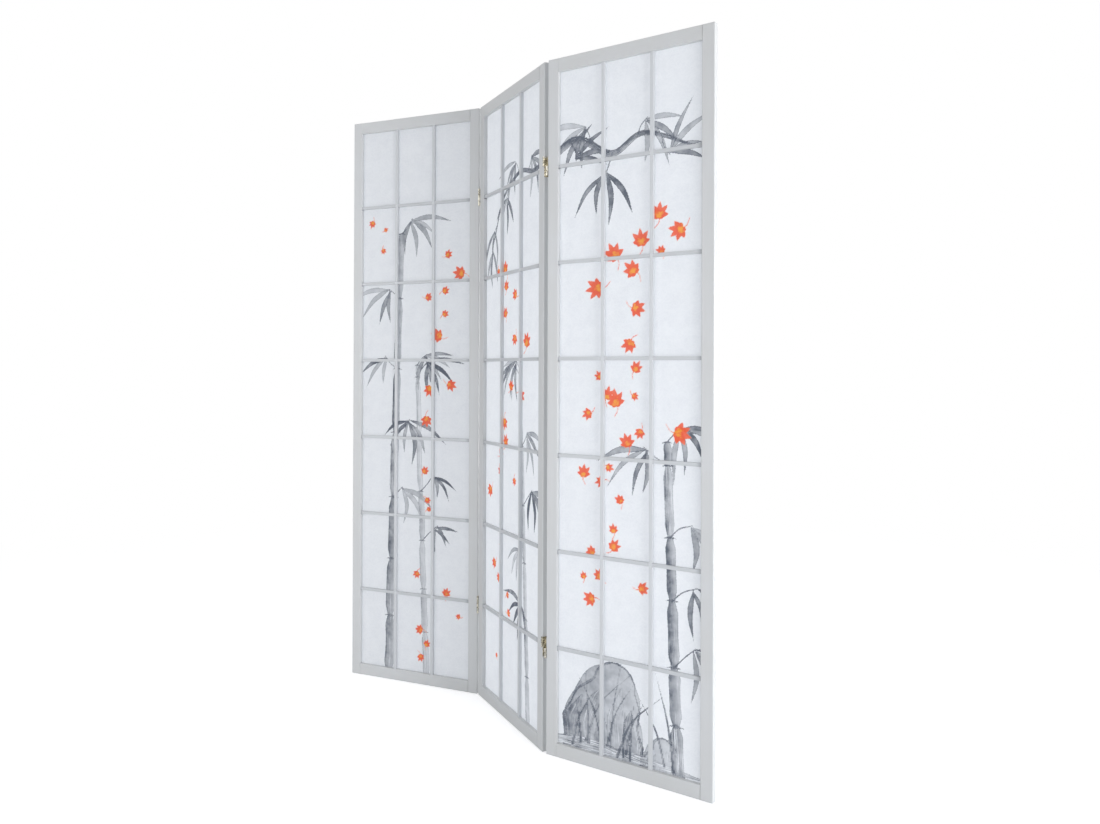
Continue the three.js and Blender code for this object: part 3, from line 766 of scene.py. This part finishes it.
def fibre_paper(name):
    material, tree = new_material(name)

    def maths(operation, *values, clamp=False):
        return add_node(tree, "ShaderNodeMath", dict(enumerate(values)), operation=operation,
                        use_clamp=clamp).outputs["Value"]

    def ranged(value, low, high, to_low=0.0, to_high=1.0, smooth=True):
        return add_node(tree, "ShaderNodeMapRange", {
            "Value": value, "From Min": low, "From Max": high, "To Min": to_low, "To Max": to_high},
            interpolation_type="SMOOTHSTEP" if smooth else "LINEAR").outputs["Result"]

    def noise(vector, size, detail=2.0, shift=0.0):
        moved = add_node(tree, "ShaderNodeVectorMath", {0: vector, 1: (shift, shift, shift)})
        return add_node(tree, "ShaderNodeTexNoise", {
            "Vector": moved.outputs["Vector"], "Scale": 1 / size, "Detail": detail}).outputs["Fac"]

    def mixed(factor, first, second):
        return add_node(tree, "ShaderNodeMix", {"Factor": factor, "A": first, "B": second},
                        data_type="RGBA").outputs["Result"]

    def painted(name, output="Fac"):
        return add_node(tree, "ShaderNodeAttribute", attribute_name=name).outputs[output]

    unwrapped = add_node(tree, "ShaderNodeUVMap", uv_map="sheet").outputs["UV"]
    mm = add_node(tree, "ShaderNodeMapping", {
        "Vector": unwrapped, "Scale": (SHEET_WIDTH / MM, SHEET_HEIGHT / MM, 1.0)}).outputs["Vector"]

    threads = None
    for size, shift in ((FIBRE_CURL, 0.0), (FIBRE_CURL * 0.7, 57.0), (FIBRE_CURL * 1.6, 131.0)):
        level = noise(mm, size, 1.0, shift)
        distance = maths("ABSOLUTE", maths("SUBTRACT", level, 0.5))
        thread = ranged(distance, FIBRE_BAND, 0.0)
        threads = thread if threads is None else maths("MAXIMUM", threads, thread)
    cloud = noise(mm, CLOUD_SIZE, 3.0)
    tooth = noise(mm, TOOTH_SIZE, 2.0)

    body = mixed(ranged(cloud, 0.35, 0.65, 0.0, 0.6, False), linear(PAPER_WHITE), linear(PAPER_SHADE))
    body = mixed(maths("MULTIPLY", threads, 0.30), body, linear(FIBRE_WHITE))

    ink, tone, dry = painted("ink_depth"), painted("ink_tone"), painted("ink_dryness")
    ragged = maths("ADD", ink, ranged(noise(mm, 2.2, 3.0), 0.3, 0.7, -1.1, 1.1, False))
    shape = ranged(ragged, -0.5, 0.7)
    bristles = add_node(tree, "ShaderNodeMapping", {
        "Vector": painted("brush_place", "Vector"),
        "Scale": (1 / BRISTLE_LENGTH, 1 / BRISTLE_PITCH, 1.0)}).outputs["Vector"]
    streak = noise(bristles, 1.0, 3.0)
    skipped = maths("ADD", maths("MULTIPLY", streak, 0.7), maths("MULTIPLY", tooth, 0.3))
    threshold = maths("MULTIPLY", dry, 0.62)
    covered = ranged(maths("SUBTRACT", skipped, threshold), -0.03, 0.12)
    pooled = ranged(ink, 2.6, 0.2, 0.0, 0.30)
    wash = maths("MULTIPLY", tone, ranged(noise(mm, 22.0, 3.0, 9.0), 0.3, 0.7, 0.72, 1.22, False))
    strength = maths("MULTIPLY", maths("MULTIPLY", shape, covered), maths("ADD", wash, pooled), clamp=True)
    body = mixed(maths("MULTIPLY", strength, 0.92), body, linear(INK))

    leaf, heart = painted("leaf_depth"), painted("leaf_heart")
    wet = maths("ADD", leaf, ranged(noise(mm, 1.8, 2.0, 5.0), 0.3, 0.7, -0.8, 0.8, False))
    bleed = ranged(wet, -2.6, 0.2, 0.0, 0.28)
    body = mixed(bleed, body, linear(LEAF_BLEED))
    ramp = add_node(tree, "ShaderNodeValToRGB", {"Fac": maths(
        "ADD", heart, ranged(noise(mm, 7.0, 2.0, 3.0), 0.3, 0.7, -0.18, 0.18, False))})
    stops = ramp.color_ramp.elements
    stops[0].position, stops[0].color = 0.06, linear(LEAF_HEART)
    stops[1].position, stops[1].color = 1.0, linear(LEAF_TIP)
    middle_stop = stops.new(0.34)
    middle_stop.color = linear(LEAF_RED)
    body = mixed(maths("MULTIPLY", ranged(wet, -0.3, 0.5), 0.93), body, ramp.outputs["Color"])

    felt = maths("ADD", maths("MULTIPLY", threads, 0.6), maths("MULTIPLY", tooth, 0.4))
    bump = add_node(tree, "ShaderNodeBump", {
        "Height": felt, "Strength": 0.4, "Distance": 0.06 * MM}).outputs["Normal"]
    face = add_node(tree, "ShaderNodeBsdfPrincipled", {
        "Base Color": body, "Roughness": 0.88, "IOR": 1.45, "Specular IOR Level": 0.15, "Normal": bump})
    through = add_node(tree, "ShaderNodeBsdfTranslucent", {"Color": body, "Normal": bump})
    surface = add_node(tree, "ShaderNodeMixShader", {
        0: PASSED_LIGHT, 1: face.outputs["BSDF"], 2: through.outputs["BSDF"]})
    add_node(tree, "ShaderNodeOutputMaterial", {"Surface": surface.outputs["Shader"]})
    return material


paper_material = fibre_paper("printed_fibre_paper")
print("the paper's material has", len(paper_material.node_tree.nodes), "nodes")

# %% [markdown]
# ## The sheets
# Each sheet is stretched flat in the groove of its frame, 389 mm wide and 1691 mm high. A grid is
# the natural start for a sheet. It is fine enough for the brushwork, it stands where the solid
# paper is, and it bows back by a fifth of a millimetre with a slight ripple from bar to bar, as
# paper does that has slackened a little since it was stretched.

# %% Make the sheets
SLACK = 0.18 * MM
RIPPLE = 0.25
PANE_ROWS = 7


def store(mesh, name, values):
    """Keep one value, or one vector, for each point of a mesh."""
    kind, field = ("FLOAT_VECTOR", "vector") if values.ndim == 2 else ("FLOAT", "value")
    layer = mesh.attributes.new(name, kind, "POINT")
    layer.data.foreach_set(field, np.ascontiguousarray(values, dtype=np.float32).ravel())


def make_sheet(panel):
    columns = round(SHEET_WIDTH / MM / CANVAS_STEP)
    rows = round(SHEET_HEIGHT / MM / CANVAS_STEP)
    bm = bmesh.new()
    bm.loops.layers.uv.new("sheet")
    bmesh.ops.create_grid(bm, x_segments=columns, y_segments=rows, size=0.5, calc_uvs=True)
    bmesh.ops.scale(bm, vec=(SHEET_WIDTH, SHEET_HEIGHT, 1), verts=bm.verts)
    bmesh.ops.rotate(bm, matrix=Matrix.Rotation(math.radians(90), 3, "X"), verts=bm.verts)
    sheet = object_from(bm, f"{panel}_printed_sheet")
    mesh = sheet.data
    points = mesh_points(mesh)

    from_edge = (points[:, 0] + HALF_WIDTH) / MM
    from_floor = (points[:, 2] + MIDDLE_HEIGHT) / MM
    canvas = Canvas(np.stack([from_edge, from_floor], axis=1))
    PAINTERS[panel](canvas)
    for name, values in (("ink_depth", canvas.ink), ("ink_tone", canvas.tone), ("ink_dryness", canvas.dry),
                         ("brush_place", canvas.brush), ("leaf_depth", canvas.leaf),
                         ("leaf_heart", canvas.heart)):
        store(mesh, name, values)

    across = np.cos(np.pi * points[:, 0] / SHEET_WIDTH)
    bow = (across * np.cos(np.pi * points[:, 2] / SHEET_HEIGHT)
           + RIPPLE * np.sin(np.pi * PANE_ROWS * points[:, 2] / SHEET_HEIGHT) * across)
    points[:, 1] = SLACK * bow
    mesh.vertices.foreach_set("co", points.ravel())
    mesh.transform(AXES[panel])
    mesh.materials.append(paper_material)
    mesh.shade_smooth()
    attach(sheet, f"{panel}_panel")
    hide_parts(f"{panel}_paper")
    print(sheet.name, len(mesh.vertices), "points,", int((canvas.ink > 0).sum()), "in ink,",
          int((canvas.leaf > 0).sum()), "in leaves")


random.seed(5)
for panel in PANELS:
    make_sheet(panel)

# %% [markdown]
# ## The studio
# A plain pale floor, a white background, and soft light. Most of it is the light of a pale room,
# which is brighter overhead than at its walls. A large soft lamp on the right rakes along the
# panels, so the right side of every bar is bright and each stile shades the paper beside it.
# Three lamps behind make the paper glow, the third of them low down. Two weak ones stand at the
# front: a warm one at mid height for the middle panel, which turns away from the raking lamp, and
# a cool one near the floor for the feet of the panels.
#
# The room looks white to the camera and in the brass. Light that seeps through the paper is a
# transmission ray as well as a diffuse one, and it gets the room's own light, not that white.
# The floor fades to white at a distance, for the camera alone, and keeps the screen's shadow.

# %% Floor, room and lamps
FLOOR_SIZE = 24.0
FADE_START, FADE_END = 1.4, 3.6  # metres from the middle of the screen
FLOOR_LIFT = 0.46  # added for the camera alone, so that the pale floor looks white
WHITE = "#FFFFFF"
WALL_LIGHT, CEILING_LIGHT = 0.33, 0.76
# Each lamp: its place, the height that it looks at in the middle, its size, its watts, its colour.
LAMPS = {
    "lamp_raking": ((6.6, -1.3, 1.0), 0.8, 1.9, 190, "#FDFDFF"),
    "lamp_behind_right": ((3.94, 3.08, 0.8), 0.8, 2.0, 56, "#FAFBFD"),
    "lamp_behind": ((0, 5, 0.8), 0.8, 2.0, 46, "#FAFBFD"),
    "lamp_behind_low": ((2.6, 1.4, 0.3), 0.5, 1.6, 36, "#F4F8FF"),
    "lamp_fill_left": ((-0.8, -2.8, 0.95), 0.5, 1.6, 14, "#FFFBF5"),
    "lamp_fill_low": ((0.6, -3.0, 0.25), 0.2, 1.6, 20, "#E8F0FF"),
}


def make_floor():
    bm = bmesh.new()
    bmesh.ops.create_grid(bm, x_segments=1, y_segments=1, size=FLOOR_SIZE / 2)
    floor = object_from(bm, "studio_floor")
    material, tree = new_material("pale_floor")
    seen = add_node(tree, "ShaderNodeLightPath").outputs["Is Camera Ray"]
    place = add_node(tree, "ShaderNodeTexCoord").outputs["Object"]
    reach = add_node(tree, "ShaderNodeVectorMath", {0: place}, operation="LENGTH").outputs["Value"]
    fade = add_node(tree, "ShaderNodeMapRange", {
        "Value": reach, "From Min": FADE_START, "From Max": FADE_END}, interpolation_type="SMOOTHSTEP")
    faded = add_node(tree, "ShaderNodeMath", {0: seen, 1: fade.outputs["Result"]}, operation="MULTIPLY")
    lifted = add_node(tree, "ShaderNodeMath", {0: seen, 1: FLOOR_LIFT}, operation="MULTIPLY")
    matt = add_node(tree, "ShaderNodeBsdfDiffuse", {"Color": linear("#EDEDED")})
    lift = add_node(tree, "ShaderNodeEmission", {
        "Color": linear(WHITE), "Strength": lifted.outputs["Value"]})
    near = add_node(tree, "ShaderNodeAddShader", {0: matt.outputs["BSDF"], 1: lift.outputs["Emission"]})
    far = add_node(tree, "ShaderNodeEmission", {"Color": linear(WHITE), "Strength": 1.0})
    both = add_node(tree, "ShaderNodeMixShader", {
        0: faded.outputs["Value"], 1: near.outputs["Shader"], 2: far.outputs["Emission"]})
    add_node(tree, "ShaderNodeOutputMaterial", {"Surface": both.outputs["Shader"]})
    floor.data.materials.append(material)


def make_room(colour):
    """A room whose light grows from that of its walls to that of the ceiling straight above."""
    world = bpy.data.worlds.new("studio_room")
    bpy.context.scene.world = world
    world.use_nodes = True
    tree = world.node_tree
    tree.nodes.clear()
    rays = add_node(tree, "ShaderNodeLightPath").outputs
    mirrored = add_node(tree, "ShaderNodeMath", {0: rays["Is Camera Ray"], 1: rays["Is Glossy Ray"]},
                        operation="MAXIMUM").outputs["Value"]
    clear = add_node(tree, "ShaderNodeMath", {0: rays["Is Transmission Ray"], 1: rays["Is Diffuse Ray"]},
                     operation="SUBTRACT", use_clamp=True).outputs["Value"]
    direct = add_node(tree, "ShaderNodeMath", {0: mirrored, 1: clear},
                      operation="MAXIMUM").outputs["Value"]
    way = add_node(tree, "ShaderNodeTexCoord").outputs["Generated"]
    height = add_node(tree, "ShaderNodeSeparateXYZ", {"Vector": way}).outputs["Z"]
    strength = add_node(tree, "ShaderNodeMapRange", {
        "Value": height, "To Min": WALL_LIGHT, "To Max": CEILING_LIGHT}).outputs["Result"]
    light = add_node(tree, "ShaderNodeBackground", {"Color": linear(colour), "Strength": strength})
    white = add_node(tree, "ShaderNodeBackground", {"Color": linear(WHITE), "Strength": 1.0})
    both = add_node(tree, "ShaderNodeMixShader", {
        0: direct, 1: light.outputs["Background"], 2: white.outputs["Background"]})
    add_node(tree, "ShaderNodeOutputWorld", {"Surface": both.outputs["Shader"]})


def soft_lamp(name, place, aim_height, size, power, colour):
    lamp = bpy.data.objects.new(name, bpy.data.lights.new(name, "AREA"))
    bpy.context.collection.objects.link(lamp)
    lamp.data.shape = "SQUARE"
    lamp.data.size = size
    lamp.data.energy = power
    lamp.data.color = linear(colour)[:3]
    lamp.visible_camera = False
    lamp.location = place
    aim = Vector((0, 0, aim_height)) - Vector(place)
    lamp.rotation_euler = aim.to_track_quat("-Z", "Y").to_euler()


make_floor()
make_room("#F8F9FC")
for name, settings in LAMPS.items():
    soft_lamp(name, *settings)
print("lamps:", len(LAMPS), "with", sum(settings[3] for settings in LAMPS.values()), "W in all")

# %% [markdown]
# ## Finish
# The view transform stays plain, so that colours look as written.

# %% Finish
bpy.context.scene.view_settings.view_transform = "Standard"
